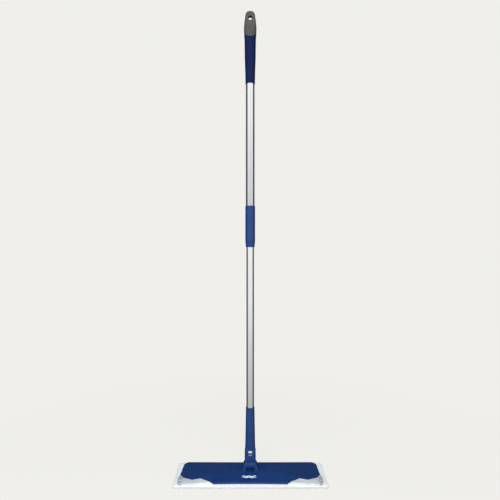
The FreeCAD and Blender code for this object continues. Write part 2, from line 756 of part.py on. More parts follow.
def swing_washers():
    """Two friction washers between the tongue and the fork's cheeks."""
    washers = []
    for start in ("-tongue_half_y - washer_thick - fit_gap", "tongue_half_y + fit_gap"):
        disc = doc.addObject("Part::Cylinder", "washer_disc")
        disc.setExpression("Radius", bound("washer_radius"))
        disc.setExpression("Height", bound("washer_thick"))
        hole = doc.addObject("Part::Cylinder", "washer_hole")
        hole.setExpression("Radius", bound("swing_pin_radius + 0.2"))
        hole.setExpression("Height", bound("washer_thick"))
        washer = doc.addObject("Part::Cut", "washer")
        washer.Base = disc
        washer.Tool = hole
        washer.Placement = FreeCAD.Placement(FreeCAD.Vector(), FreeCAD.Rotation(FreeCAD.Vector(1, 0, 0), -90))
        washer.setExpression("Placement.Base.y", bound(start))
        washer.setExpression("Placement.Base.z", bound("swing_z"))
        washers.append(washer)
    group = doc.addObject("Part::Compound", "swing_washers")
    group.Label = "swing_washers"
    group.Links = washers
    doc.recompute()
    return group


def handle_socket():
    """Tapered socket for the lower tube; its lower end is a fork around the yoke's tongue."""
    body = new_body("handle_socket")
    sections = [
        ("socket_top", "socket_top_half", "socket_top_half", "socket_top_half - 0.4"),
        ("socket_mid", "socket_mid_half", "socket_mid_half - 0.6", "socket_mid_half - 1.4"),
        ("socket_step", "socket_step_half", "socket_half_y - 0.2", "socket_half_y - 3"),
        ("fork_full", "socket_half_x - 0.1", "socket_half_y", "6"),
        ("swing_z - socket_end_radius", "socket_half_x", "socket_half_y", "5"),
    ]
    sketches = []
    for number, (height, half_x, half_y, radius) in enumerate(sections):
        sketch = new_sketch(body, f"section_{number}", "XY_Plane", height)
        rounded_rectangle(sketch, half_x, half_y, radius)
        sketches.append(sketch)
    loft(body, sketches)
    end = new_sketch(body, "fork_end", "XZ_Plane")
    low = "swing_z - socket_end_radius"
    shoulder = "sqrt(socket_end_radius ^ 2 - (socket_half_x + 1) ^ 2)"
    outline(
        end,
        [
            ("-socket_half_x - 1", f"swing_z - {shoulder}", "socket_end_radius", 1),
            ("0", low, "socket_end_radius", 1),
            ("socket_half_x + 1", f"swing_z - {shoulder}"),
            ("socket_half_x + 1", f"{low} - 10"),
            ("-socket_half_x - 1", f"{low} - 10"),
        ],
    )
    pocket(body, end, "100", midplane=True)
    slot = new_sketch(body, "fork_slot", "YZ_Plane")
    rectangle(slot, "-fork_slot_half", "fork_slot_half", f"{low} - 5", "swing_z + fork_slot_rise")
    pocket(body, slot, "100", midplane=True)
    pin_hole = new_sketch(body, "pin_hole", "XZ_Plane")
    circle(pin_hole, "0", "swing_z", "swing_pin_radius")
    pocket(body, pin_hole, "100", midplane=True)
    bore = new_sketch(body, "tube_bore", "XY_Plane", "socket_bore_floor")
    circle(bore, "0", "0", "lower_tube_radius + fit_gap")
    pocket(body, bore, "200", upwards=True)
    drilled(body, "socket_screw_radius + 0.2", "socket_screw_z", "40")
    return body


def drilled(body, radius, height, reach):
    """A round hole from the middle towards the rear."""
    sketch = new_sketch(body, "rear_hole", "XZ_Plane")
    circle(sketch, "0", height, radius)
    pocket(body, sketch, reach)


def lower_tube():
    inner = "lower_tube_radius - tube_wall"
    body = tube("lower_tube", inner, "lower_tube_radius", "socket_bore_floor", "lower_tube_top")
    drilled(body, "socket_screw_radius + 0.1", "socket_screw_z", "40")
    return body


def tube_plug():
    """A hollow plug that keeps the tube round under the socket screw."""
    radius = "lower_tube_radius - tube_wall - fit_gap"
    body = tube("tube_plug", "4", radius, "socket_bore_floor", "socket_bore_floor + plug_length")
    drilled(body, "socket_screw_radius + fit_gap", "socket_screw_z", "40")
    return body


def socket_screw():
    """A pan-head screw from the rear, through socket, tube and plug."""
    seat = "socket_mid_half - 0.6"
    return turned_on_y(
        "socket_screw",
        "socket_screw_z",
        [
            ("0", "5"),
            ("socket_screw_radius", "6.5"),
            ("socket_screw_radius", seat),
            ("socket_screw_head", seat),
            ("socket_screw_head", f"{seat} + 1.2"),
            ("socket_screw_head - 1", f"{seat} + 2.2"),
            ("0", f"{seat} + 2.4"),
        ],
    )


# ---------------------------------------------------------------- twist lock


def lock_core():
    """A stem fixed in the lower tube, an eccentric for the ring, and a flange that keeps the ring on."""
    body = turned(
        "lock_core",
        [
            ("0", "lower_tube_top - core_stem"),
            ("lower_tube_radius - tube_wall - fit_gap", "lower_tube_top - core_stem"),
            ("lower_tube_radius - tube_wall - fit_gap", "lower_tube_top"),
            ("lower_tube_radius - 0.1", "lower_tube_top"),
            ("lower_tube_radius - 0.1", "lower_tube_top + core_flange"),
            ("0", "lower_tube_top + core_flange"),
        ],
    )
    cam = new_sketch(body, "cam", "XY_Plane", "lower_tube_top + core_flange - 0.5")
    circle(cam, "cam_offset", "0", "cam_radius")
    pad(body, cam, "cam_length + 1")
    cap = new_sketch(body, "cap", "XY_Plane", "lower_tube_top + core_flange + cam_length")
    circle(cap, "0", "0", "lower_tube_radius - 0.5")
    pad(body, cap, "core_cap")
    return body


def lock_ring():
    """A split ring with an eccentric bore; turning it on the eccentric wedges it in the upper tube."""
    body = new_body("lock_ring")
    sketch = new_sketch(body, "section", "XY_Plane", "lower_tube_top + core_flange + ring_gap")
    circle(sketch, "0", "0", "ring_radius")
    circle(sketch, "cam_offset", "0", "ring_bore")
    pad(body, sketch, "cam_length - 2 * ring_gap")
    split = new_sketch(body, "split", "XY_Plane", "lower_tube_top")
    rectangle(split, "0", "20", "-ring_split / 2", "ring_split / 2")
    pocket(body, split, "100", upwards=True)
    return body


# ---------------------------------------------------------------- upper handle


def upper_tube():
    inner = "upper_tube_radius - tube_wall"
    return tube("upper_tube", inner, "upper_tube_radius", "upper_tube_bottom", "upper_tube_top")


def collar():
    """A sleeve around the lower end of the upper tube, with a tapered nose and an inner lip."""
    bore = "upper_tube_radius + fit_gap"
    nose = "collar_bottom + collar_nose"
    return turned(
        "collar",
        [
            ("lower_tube_radius + 0.4", "collar_bottom"),
            ("collar_nose_radius", "collar_bottom"),
            ("collar_radius - 0.25", f"{nose} - 3"),
            ("collar_radius", f"{nose} + 2"),
            ("collar_radius", "collar_top - 0.8"),
            ("collar_radius - 0.8", "collar_top"),
            (bore, "collar_top"),
            (bore, "collar_bottom + collar_lip + 2"),
            ("lower_tube_radius + 0.4", "collar_bottom + collar_lip"),
        ],
    )


def collar_bush():
    """A nylon guide for the lower tube, between the collar's lip and the upper tube's end."""
    return turned(
        "collar_bush",
        [
            ("lower_tube_radius + 2 * fit_gap", "collar_bottom + collar_lip + 2"),
            ("upper_tube_radius", "collar_bottom + collar_lip + 2.1"),
            ("upper_tube_radius", "upper_tube_bottom - 0.1"),
            ("lower_tube_radius + 2 * fit_gap", "upper_tube_bottom - 0.1"),
        ],
    )


def tube_end_plug():
    """Closes the upper end of the upper tube under the grip."""
    stem = "upper_tube_radius - tube_wall - fit_gap"
    return turned(
        "tube_end_plug",
        [
            ("4", "upper_tube_top - end_plug_length"),
            (stem, "upper_tube_top - end_plug_length"),
            (stem, "upper_tube_top"),
            ("upper_tube_radius", "upper_tube_top"),
            ("upper_tube_radius", "upper_tube_top + end_plug_flange"),
            ("4", "upper_tube_top + end_plug_flange"),
        ],
    )


def grip_and_cap_form(body):
    """The common outer form of the grip and its cap: round below, flattened around the hanging hole."""
    sketches = []
    for number, (height, half_x, half_y, radius) in enumerate(GRIP_SECTIONS):
        sketch = new_sketch(body, f"section_{number}", "XY_Plane", height)
        rounded_rectangle(sketch, half_x, half_y, radius)
        sketches.append(sketch)
    loft(body, sketches)


def seam_outline(limit):
    """Everything on one side of the U-shaped seam, up or down to the limit; seen from the front."""
    seam_centre = "cap_seam_low + cap_seam_radius"
    reach = "cap_seam_radius - 0.5"
    height = f"{seam_centre} - sqrt(cap_seam_radius ^ 2 - ({reach}) ^ 2)"
    return [
        (f"-({reach})", height, "cap_seam_radius", 1),
        ("0", "cap_seam_low", "cap_seam_radius", 1),
        (reach, height),
        (f"{reach} + 20", height),
        (f"{reach} + 20", limit),
        (f"-({reach}) - 20", limit),
        (f"-({reach}) - 20", height),
    ]


def grip():
    """Hollow handgrip over the tube, with a spigot on top that holds the cap."""
    body = new_body("grip")
    grip_and_cap_form(body)
    above = new_sketch(body, "above_seam", "XZ_Plane")
    outline(above, seam_outline("cap_top + 50"))
    pocket(body, above, "100", midplane=True)
    spigot = new_sketch(body, "spigot", "XY_Plane", "cap_seam_low - 2")
    circle(spigot, "0", "0", "spigot_radius")
    pad(body, spigot, "spigot_top - cap_seam_low + 2")
    bore = new_sketch(body, "bore", "XY_Plane", "grip_bottom - 1")
    circle(bore, "0", "0", "upper_tube_radius + fit_gap")
    pocket(body, bore, "upper_tube_top + end_plug_flange + 1 - grip_bottom + 1", upwards=True)
    return body


def grip_cap():
    """Soft end cap with a hanging hole from front to back and a blind socket for the spigot."""
    body = new_body("grip_cap")
    grip_and_cap_form(body)
    below = new_sketch(body, "below_seam", "XZ_Plane")
    outline(below, seam_outline("grip_bottom - 50"))
    pocket(body, below, "100", midplane=True)
    blind = new_sketch(body, "spigot_socket", "XY_Plane", "cap_seam_low - 10")
    circle(blind, "0", "0", "spigot_radius + fit_gap")
    pocket(body, blind, "spigot_top + 0.3 - cap_seam_low + 10", upwards=True)
    hole = new_sketch(body, "hanging_hole", "XZ_Plane")
    circle(hole, "0", "hole_z", "hole_radius")
    pocket(body, hole, "100", midplane=True)
    return body


# ---------------------------------------------------------------- the whole mop


def build():
    fill_sheet()
    return [
        pad_pile(),
        pad_core(),
        pad_backing(),
        pad_binding(),
        head_shell(),
        hinge_bracket(),
        bracket_screws(),
        corner_bumper("corner_bumper_left", "-1"),
        corner_bumper("corner_bumper_right", "1"),
        hook_strip("hook_strip_front", "-strip_far", "-strip_near"),
        hook_strip("hook_strip_rear", "strip_near", "strip_far"),
        tilt_pin(),
        yoke(),
        swing_pin(),
        swing_nut(),
        swing_washers(),
        handle_socket(),
        lower_tube(),
        tube_plug(),
        socket_screw(),
        lock_core(),
        lock_ring(),
        upper_tube(),
        collar(),
        collar_bush(),
        tube_end_plug(),
        grip(),
        grip_cap(),
    ]


def check(pieces):
    """Stops if any object failed, or if a piece's shape is missing or not valid."""
    doc.recompute()
    for item in doc.Objects:
        if "Invalid" in item.State or "Error" in item.State:
            raise RuntimeError(f"{item.Name} failed: {item.State}")
    for piece in pieces:
        if piece.Shape.isNull() or not piece.Shape.isValid() or not piece.Shape.Solids:
            raise RuntimeError(f"{piece.Label} has no valid shape")


def write(pieces):
    os.makedirs("parts", exist_ok=True)
    for piece in pieces:
        piece.Shape.exportStep(f"parts/{piece.Label}.step")


mop = build()
check(mop)
write(mop)
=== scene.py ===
"""Looks for the flat mop: materials for every moulded and metal piece, and the soft pad as its own meshes.

Metres, +Z up, in the frame of the CAD model. -Y is the front of the mop.
"""

import math
import random

import bpy
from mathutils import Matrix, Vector, noise
from mathutils.bvhtree import BVHTree


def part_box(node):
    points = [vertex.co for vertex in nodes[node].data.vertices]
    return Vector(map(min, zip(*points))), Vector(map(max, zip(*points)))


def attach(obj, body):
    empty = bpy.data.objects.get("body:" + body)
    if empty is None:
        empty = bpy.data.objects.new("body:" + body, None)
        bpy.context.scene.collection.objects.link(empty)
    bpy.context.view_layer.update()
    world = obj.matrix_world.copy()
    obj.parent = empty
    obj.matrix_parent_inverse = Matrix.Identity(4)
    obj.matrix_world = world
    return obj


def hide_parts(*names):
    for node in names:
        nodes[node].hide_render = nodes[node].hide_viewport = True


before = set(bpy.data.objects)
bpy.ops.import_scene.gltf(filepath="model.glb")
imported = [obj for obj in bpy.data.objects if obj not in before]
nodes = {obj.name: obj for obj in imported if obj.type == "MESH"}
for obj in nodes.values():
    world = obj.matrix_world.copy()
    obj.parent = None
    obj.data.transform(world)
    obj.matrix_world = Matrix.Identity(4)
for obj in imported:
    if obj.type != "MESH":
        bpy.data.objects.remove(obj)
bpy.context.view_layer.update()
MM = 0.001

# ------------------------------------------------------------------ levels

BACKGROUND = (240, 239, 234)  # 8-bit sRGB steps of the pale floor and backdrop

# How the floor looks to the camera: mostly glow near the mop, all glow further out.
FLOOR_PLAIN = 0.88
FLOOR_MATCH = 1.2  # brings the floor's lit share up to the backdrop
FLOOR_FADE = (0.3, 1.1)  # metres from the handle
FLOOR_ALBEDO = 0.45  # how much light the floor throws back onto the mop

# How bright the floor is in a reflection, as painted light: a painted shadow near the mop, and paler further out.
MIRRORED_NEAR = 0.62
MIRRORED_FAR = 0.92
MIRRORED_FADE = (0.3, 3.0)
MIRRORED_PAINTED_SHADOW = (0.26, 0.42)
MIRRORED_LEAST = 0.02

# What surfaces see of the world: a wide bright front, with dark sides and rear.
WORLD_EDGE = -0.3  # where the front ends, as the y of a direction
WORLD_SOFT = 0.12  # half the width of that edge
WORLD_FRONT = 0.9
WORLD_REST = 0.12
WORLD_DIP = 0.75  # the dimmer strip straight ahead
WORLD_DIP_EDGES = (0.06, 0.2)
WORLD_SKY = (0.45, 0.9, 0.3)  # the front fades between these heights, to this share

# Soft boxes: place, target, size in metres, and watts.
KEY = ((-0.3, -2.4, 1.7), (0, 0, 0.4), (1.8, 1.4), 85.0)
REAR_FILL = ((0.9, 2.6, 1.3), (0, 0, 0.5), (2.0, 1.6), 8.0)

CAMERA_PLACE = (-0.0006, -1.256, 0.657)
CAMERA_VIEW = 60  # degrees across
FLOOR_HALF = 30.0  # metres

# ------------------------------------------------------------------ shader building


def srgb(red, green, blue):
    """A linear colour from 8-bit sRGB steps."""
    steps = [v / 255 for v in (red, green, blue)]
    return tuple([v / 12.92 if v <= 0.04045 else ((v + 0.055) / 1.055) ** 2.4 for v in steps] + [1.0])


def shade(colour, factor):
    """A linear colour made darker or lighter."""
    return tuple([min(1.0, c * factor) for c in colour[:3]] + [1.0])


class Shader:
    """A principled material with short ways to add procedural nodes. Lengths are metres, in object space."""

    def __init__(self, name):
        self.material = bpy.data.materials.new(name)
        self.material.use_nodes = True
        self.tree = self.material.node_tree
        self.bsdf = self.tree.nodes["Principled BSDF"]
        self.place = self.tree.nodes.new("ShaderNodeTexCoord").outputs["Object"]

    def put(self, socket, given):
        if isinstance(given, bpy.types.NodeSocket):
            self.tree.links.new(given, socket)
        elif given is not None:
            socket.default_value = given

    def add(self, kind, output=0, settings=None, **inputs):
        """A node; inputs are named by their label, or by number as _0, _1 and so on."""
        node = self.tree.nodes.new(kind)
        for key, given in (settings or {}).items():
            setattr(node, key, given)
        for key, given in inputs.items():
            self.put(node.inputs[int(key[1:]) if key[1:].isdigit() else key.replace("_", " ")], given)
        return node.outputs[output]

    def stretched(self, x, y, z):
        return self.add("ShaderNodeMapping", Vector=self.place, Scale=(x, y, z))

    def noise(self, scale, detail=3.0, rough=0.55, where=None):
        where = where or self.place
        return self.add("ShaderNodeTexNoise", "Fac", Vector=where, Scale=scale, Detail=detail, Roughness=rough)

    def cells(self, scale, feature="F1", where=None):
        settings = {"feature": feature}
        return self.add("ShaderNodeTexVoronoi", "Distance", settings, Vector=where or self.place, Scale=scale)

    def math(self, operation, a, b=None, clamp=False):
        return self.add("ShaderNodeMath", 0, {"operation": operation, "use_clamp": clamp}, _0=a, _1=b)

    def remap(self, given, low, high, to_low=0.0, to_high=1.0):
        settings = {"clamp": True}
        return self.add("ShaderNodeMapRange", 0, settings, _0=given, _1=low, _2=high, _3=to_low, _4=to_high)

    def mix(self, factor, a, b, blend="MIX"):
        settings = {"data_type": "RGBA", "blend_type": blend}
        return self.add("ShaderNodeMix", 2, settings, _0=factor, _6=a, _7=b)

    def axis(self, which):
        return self.add("ShaderNodeSeparateXYZ", "XYZ".index(which), Vector=self.place)

    def edges(self, radius, low=0.02, high=0.25):
        """1 along sharp edges, 0 on flat faces."""
        rounded = self.add("ShaderNodeBevel", 0, {"samples": 4}, Radius=radius)
        plain = self.add("ShaderNodeNewGeometry", "Normal")
        dot = self.add("ShaderNodeVectorMath", "Value", {"operation": "DOT_PRODUCT"}, _0=rounded, _1=plain)
        return self.remap(self.math("SUBTRACT", 1.0, dot), low, high)

    def bump(self, height, distance, strength=1.0, under=None):
        return self.add("ShaderNodeBump", 0, Strength=strength, Distance=distance, Height=height, Normal=under)

    def finish(self, colour, roughness, normal=None, **more):
        self.put(self.bsdf.inputs["Base Color"], colour)
        self.put(self.bsdf.inputs["Roughness"], roughness)
        if normal is not None:
            self.put(self.bsdf.inputs["Normal"], normal)
        for key, given in more.items():
            self.put(self.bsdf.inputs[key.replace("_", " ")], given)
        return self.material


# ------------------------------------------------------------------ materials


def moulded_plastic(name, colour, worn, grain=0.00005, rough=0.42, sheen=0.35):
    """Satin polypropylene: spark-eroded grain, faint flow mottling, scuffs, and paler edges that are partly wear from
    rubbing and partly a painted highlight.
    """
    s = Shader(name)
    cloudy = s.noise(34.0, 5.0)
    fine = s.noise(900.0, 2.0)
    scuffs = s.remap(s.noise(160.0, 6.0, 0.7, s.stretched(1.0, 6.0, 0.5)), 0.62, 0.72)
    base = s.mix(s.remap(cloudy, 0.35, 0.65), shade(colour, 0.9), shade(colour, 1.1))
    base = s.mix(s.math("MULTIPLY", scuffs, 0.1), base, worn)
    # Paler edges: partly wear from rubbing, partly a painted highlight; they take the worn colour, which the scuffs
    # use too.
    rubbed_and_highlit_edges = s.math("MULTIPLY", s.edges(0.0009), s.remap(s.noise(90.0, 3.0), 0.4, 0.65, 0.1, 0.7))
    base = s.mix(s.math("MULTIPLY", rubbed_and_highlit_edges, 0.4), base, worn)
    satin = s.remap(fine, 0.3, 0.7, rough - 0.05, rough + 0.05)
    roughness = s.math("ADD", satin, s.math("MULTIPLY", scuffs, 0.12))
    height = s.math("ADD", s.noise(1500.0, 2.0), s.math("MULTIPLY", s.cells(1100.0), 0.6))
    return s.finish(base, roughness, s.bump(height, grain, 0.6), Specular_IOR_Level=sheen)


def soft_rubber(name, colour, dusty, rough=0.68, grain=0.00005):
    """Matt elastomer: dense fine grain, dust in the low places, slightly polished on its edges."""
    s = Shader(name)
    cloudy = s.noise(22.0, 5.0)
    base = s.mix(s.remap(cloudy, 0.35, 0.7), colour, dusty)
    specks = s.remap(s.noise(700.0, 2.0), 0.62, 0.75)
    base = s.mix(s.math("MULTIPLY", specks, 0.18), base, dusty)
    matt = s.remap(cloudy, 0.3, 0.7, rough, rough + 0.1)
    roughness = s.math("SUBTRACT", matt, s.math("MULTIPLY", s.edges(0.001), 0.2))
    height = s.math("ADD", s.noise(1300.0, 3.0), s.math("MULTIPLY", s.cells(900.0), 0.8))
    return s.finish(base, roughness, s.bump(height, grain, 0.7), Specular_IOR_Level=0.3)


def bumper_rubber(name, half_x, rib_depth):
    """Light grey rubber with painted cool shade on the rib along its outside, and a painted pale bluish highlight on
    its bevelled edges.
    """
    s = Shader(name)
    cloudy = s.noise(24.0, 5.0)
    base = s.mix(s.remap(cloudy, 0.35, 0.7), srgb(208, 211, 214), srgb(192, 196, 201))
    # Painted shade: the rib along the outside is painted a darker cool grey.
    rib_shade = s.remap(s.math("ABSOLUTE", s.axis("X")), half_x - rib_depth, half_x - rib_depth + 0.004)
    base = s.mix(s.math("MULTIPLY", rib_shade, 0.75), base, srgb(150, 160, 172))
    scuffs = s.remap(s.noise(120.0, 6.0, 0.7), 0.6, 0.74)
    base = s.mix(s.math("MULTIPLY", scuffs, 0.2), base, srgb(158, 160, 164))
    # Painted highlight: the bevelled edges are painted a pale bluish white.
    base = s.mix(s.math("MULTIPLY", s.edges(0.0012), 0.6), base, srgb(222, 230, 242))
    height = s.math("ADD", s.noise(1300.0, 3.0), s.math("MULTIPLY", s.cells(900.0), 0.8))
    return s.finish(base, s.remap(cloudy, 0.3, 0.7, 0.55, 0.68), s.bump(height, 0.00005, 0.7))


def drawn_aluminium(name, low, high, grey, pale):
    """Anodised drawn tube: fine lines along its length, small scratches, and painted shade that makes it greyer
    towards its lower end.
    """
    s = Shader(name)
    lines = s.noise(1.0, 3.0, 0.6, s.stretched(1500.0, 1500.0, 9.0))
    broad = s.noise(1.0, 2.0, 0.5, s.stretched(260.0, 260.0, 2.5))
    scratch = s.remap(s.noise(1.0, 4.0, 0.7, s.stretched(240.0, 240.0, 420.0)), 0.66, 0.74)
    # Painted shade: grey at the height low and pale at the height high, in place of a reflection that dims downwards.
    base = s.mix(s.remap(s.axis("Z"), low, high), grey, pale)
    base = s.mix(s.remap(broad, 0.3, 0.7, 0.0, 0.16), base, srgb(176, 180, 184))
    roughness = s.math("ADD", s.remap(lines, 0.3, 0.7, 0.15, 0.23), s.math("MULTIPLY", scratch, 0.12))
    height = s.math("ADD", lines, s.math("MULTIPLY", scratch, -0.6))
    return s.finish(base, roughness, s.bump(height, 0.000006, 0.5), Metallic=1.0)


def plated_chrome(name):
    s = Shader(name)
    haze = s.noise(420.0, 4.0)
    base = s.mix(s.remap(haze, 0.4, 0.7), srgb(236, 237, 239), srgb(212, 214, 218))
    roughness = s.remap(haze, 0.35, 0.7, 0.02, 0.06)
    return s.finish(base, roughness, s.bump(s.noise(900.0, 3.0), 0.000004, 0.4), Metallic=1.0)


def zinc_steel(name):
    s = Shader(name)
    haze = s.noise(260.0, 5.0)
    base = s.mix(s.remap(haze, 0.35, 0.7), srgb(168, 170, 172), srgb(128, 130, 134))
    roughness = s.remap(haze, 0.3, 0.7, 0.28, 0.46)
    return s.finish(base, roughness, s.bump(s.cells(700.0), 0.00001, 0.5), Metallic=1.0)


def natural_nylon(name):
    s = Shader(name)
    haze = s.noise(60.0, 4.0)
    base = s.mix(s.remap(haze, 0.35, 0.7), srgb(206, 204, 192), srgb(186, 184, 172))
    roughness = s.remap(haze, 0.3, 0.7, 0.4, 0.55)
    height = s.bump(s.noise(1100.0, 2.0), 0.00002, 0.5)
    return s.finish(base, roughness, height, Subsurface_Weight=0.1, Subsurface_Scale=0.002)


def microfibre(name):
    """White looped microfibre: clumped pile with painted bluish shade in its hollows, greyer near the floor."""
    s = Shader(name)
    clumps = s.cells(420.0)
    fibres = s.noise(1600.0, 4.0, 0.7)
    # Painted shade: bluish grey in the hollows between the clumps.
    base = s.mix(s.remap(clumps, 0.1, 0.75), srgb(222, 223, 224), srgb(194, 199, 208))
    base = s.mix(s.remap(s.noise(18.0, 4.0), 0.35, 0.7, 0.0, 0.3), base, srgb(204, 206, 208))
    base = s.mix(s.remap(s.axis("Z"), 0.0, 0.002, 0.15, 0.0), base, srgb(188, 189, 190))
    height = s.math("ADD", s.math("MULTIPLY", clumps, -1.0), s.math("MULTIPLY", fibres, 0.7))
    roughness = s.remap(fibres, 0.3, 0.7, 0.85, 0.98)
    normal = s.bump(height, 0.0006, 0.7)
    return s.finish(base, roughness, normal, Sheen_Weight=0.4, Specular_IOR_Level=0.2)


def loop_fleece(name):
    """Brushed loop fabric: tangled fine loops over a faint knitted rib along its length."""
    s = Shader(name)
    tangle = s.cells(760.0, "DISTANCE_TO_EDGE")
    knit = s.add("ShaderNodeTexWave", "Fac", {"bands_direction": "Y"}, Vector=s.place, Scale=150.0, Distortion=2.0)
    fluff = s.noise(1500.0, 4.0, 0.7)
    # Painted shade: a faint bluish grey along the hollows between the loops.
    base = s.mix(s.remap(tangle, 0.0, 0.3), srgb(243, 246, 249), srgb(255, 255, 255))
    base = s.mix(s.remap(s.noise(30.0, 4.0), 0.4, 0.7, 0.0, 0.35), base, srgb(240, 243, 246))
    height = s.math("ADD", s.math("MULTIPLY", tangle, 1.2), s.math("ADD", fluff, s.math("MULTIPLY", knit, 0.3)))
    roughness = s.remap(fluff, 0.3, 0.7, 0.86, 0.98)
    normal = s.bump(height, 0.0004, 0.7)
    return s.finish(base, roughness, normal, Sheen_Weight=0.4, Specular_IOR_Level=0.2)


def woven_tape(name):
    """White edge tape with a fine diagonal weave, painted darker below 6.9 mm as painted shade on its strongly lit
    outside face.
    """
    s = Shader(name)
    settings = {"bands_direction": "DIAGONAL"}
    warp = s.add("ShaderNodeTexWave", "Fac", settings, Vector=s.place, Scale=260.0, Distortion=1.2)
    weft = s.noise(1400.0, 3.0)
    base = s.mix(warp, srgb(243, 246, 249), srgb(255, 255, 255))
    base = s.mix(s.remap(s.noise(26.0, 4.0), 0.4, 0.7, 0.0, 0.3), base, srgb(236, 239, 243))
    # Painted shade: grey below 6.9 mm, fading out by 7.7 mm, to tone down the brightly lit outside face.
    base = s.mix(s.remap(s.axis("Z"), 0.0069, 0.0077, 1.0, 0.0), base, srgb(202, 203, 204))
    height = s.math("ADD", warp, s.math("MULTIPLY", weft, 0.6))
    roughness = s.remap(weft, 0.3, 0.7, 0.8, 0.95)
    normal = s.bump(height, 0.00025, 0.5)
    return s.finish(base, roughness, normal, Sheen_Weight=0.2, Specular_IOR_Level=0.25)


def sewing_thread(name):
    """Twisted polyester thread."""
    s = Shader(name)
    twist = s.noise(1.0, 2.0, 0.5, s.stretched(2600.0, 900.0, 2600.0))
    base = s.mix(s.remap(twist, 0.35, 0.65), srgb(206, 216, 232), srgb(240, 244, 250))
    return s.finish(base, s.remap(twist, 0.3, 0.7, 0.5, 0.7), s.bump(twist, 0.0001, 0.8), Sheen_Weight=0.2)


def open_foam(name):
    """Pale yellow open-cell foam."""
    s = Shader(name)
    pores = s.cells(850.0)
    base = s.mix(s.remap(pores, 0.1, 0.6), srgb(196, 188, 158), srgb(234, 229, 206))
    base = s.mix(s.remap(s.noise(20.0, 4.0), 0.4, 0.7, 0.0, 0.4), base, srgb(222, 212, 178))
    return s.finish(base, s.remap(pores, 0.0, 0.6, 0.8, 0.95), s.bump(pores, 0.0006, 0.9))


def hook_tape(name):
    """Moulded hooks on a woven base."""
    s = Shader(name)
    hooks = s.cells(620.0)
    base = s.mix(s.remap(hooks, 0.1, 0.6), srgb(196, 199, 203), srgb(130, 134, 140))
    base = s.mix(s.remap(s.noise(40.0, 4.0), 0.4, 0.7, 0.0, 0.3), base, srgb(168, 170, 172))
    return s.finish(base, s.remap(hooks, 0.0, 0.7, 0.5, 0.8), s.bump(hooks, 0.0008, 0.9))


def printed_ink(name):
    """White pad-printed ink, slightly worn through."""
    s = Shader(name)
    wear = s.remap(s.noise(700.0, 5.0, 0.7), 0.58, 0.72)
    base = s.mix(s.math("MULTIPLY", wear, 0.35), srgb(250, 252, 255), srgb(150, 165, 200))
    return s.finish(base, s.remap(s.noise(300.0), 0.3, 0.7, 0.4, 0.55), s.bump(s.noise(1200.0), 0.00002, 0.5))


def dress(material, *names):
    """Gives CAD nodes a material in every one of their slots."""
    for name in names:
        data = nodes[name].data
        if not data.materials:
            data.materials.append(material)
        for index in range(len(data.materials)):
            data.materials[index] = material


def soften(width, segments, *names):
    """A small rounded edge on moulded CAD nodes."""
    for name in names:
        bevel = nodes[name].modifiers.new("rounded_edges", "BEVEL")
        bevel.width = width
        bevel.segments = segments
        bevel.limit_method = "ANGLE"
        bevel.angle_limit = math.radians(28)
        bevel.harden_normals = False


def dress_frame():
    plate = moulded_plastic("plate_plastic", srgb(23, 55, 110), srgb(70, 94, 142), sheen=0.16)
    handle = moulded_plastic("handle_plastic", srgb(25, 53, 102), srgb(75, 100, 150), rough=0.38, sheen=0.3)
    grip = moulded_plastic("grip_plastic", srgb(12, 25, 62), srgb(58, 74, 120), rough=0.5, sheen=0.12)
    dress(plate, "head_shell", "hinge_bracket")
    dress(handle, "yoke", "handle_socket", "collar")
    dress(grip, "grip")
    dress(soft_rubber("cap_rubber", srgb(66, 65, 64), srgb(76, 75, 73)), "grip_cap")
    low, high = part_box("corner_bumper_right")
    dress(bumper_rubber("bumper_rubber", high.x, 0.014), "corner_bumper_left", "corner_bumper_right")
    # Each tube gets painted shade: grey at its lower end, pale at its upper end.
    low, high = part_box("collar")[1].z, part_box("grip")[0].z
    dress(drawn_aluminium("upper_aluminium", low, high, srgb(206, 210, 214), srgb(250, 251, 253)), "upper_tube")
    low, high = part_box("handle_socket")[1].z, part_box("collar")[0].z
    dress(drawn_aluminium("lower_aluminium", low, high, srgb(226, 229, 232), srgb(248, 250, 252)), "lower_tube")
    dress(plated_chrome("chrome"), "swing_pin", "swing_nut")
    dress(zinc_steel("zinc_steel"), "tilt_pin", "bracket_screws", "socket_screw")
    nylon = natural_nylon("nylon")
    dress(nylon, "swing_washers", "tube_plug", "lock_core", "lock_ring", "collar_bush", "tube_end_plug")
    dress(hook_tape("hook_tape"), "hook_strip_front", "hook_strip_rear")


# ------------------------------------------------------------------ mesh helpers, in millimetres


def new_mesh(name, points, faces, material):
    """A smooth-shaded mesh object; points are in millimetres."""
    data = bpy.data.meshes.new(name)
    data.from_pydata([tuple([c * MM for c in point]) for point in points], [], faces)
    data.polygons.foreach_set("use_smooth", [True] * len(faces))
    data.materials.append(material)
    data.update()
    piece = bpy.data.objects.new(name, data)
    bpy.context.scene.collection.objects.link(piece)
    return piece


def steps(low, high, size):
    """Evenly spaced numbers from low to high, about size apart."""
    count = max(1, round((high - low) / size))
    return [low + (high - low) * n / count for n in range(count + 1)]


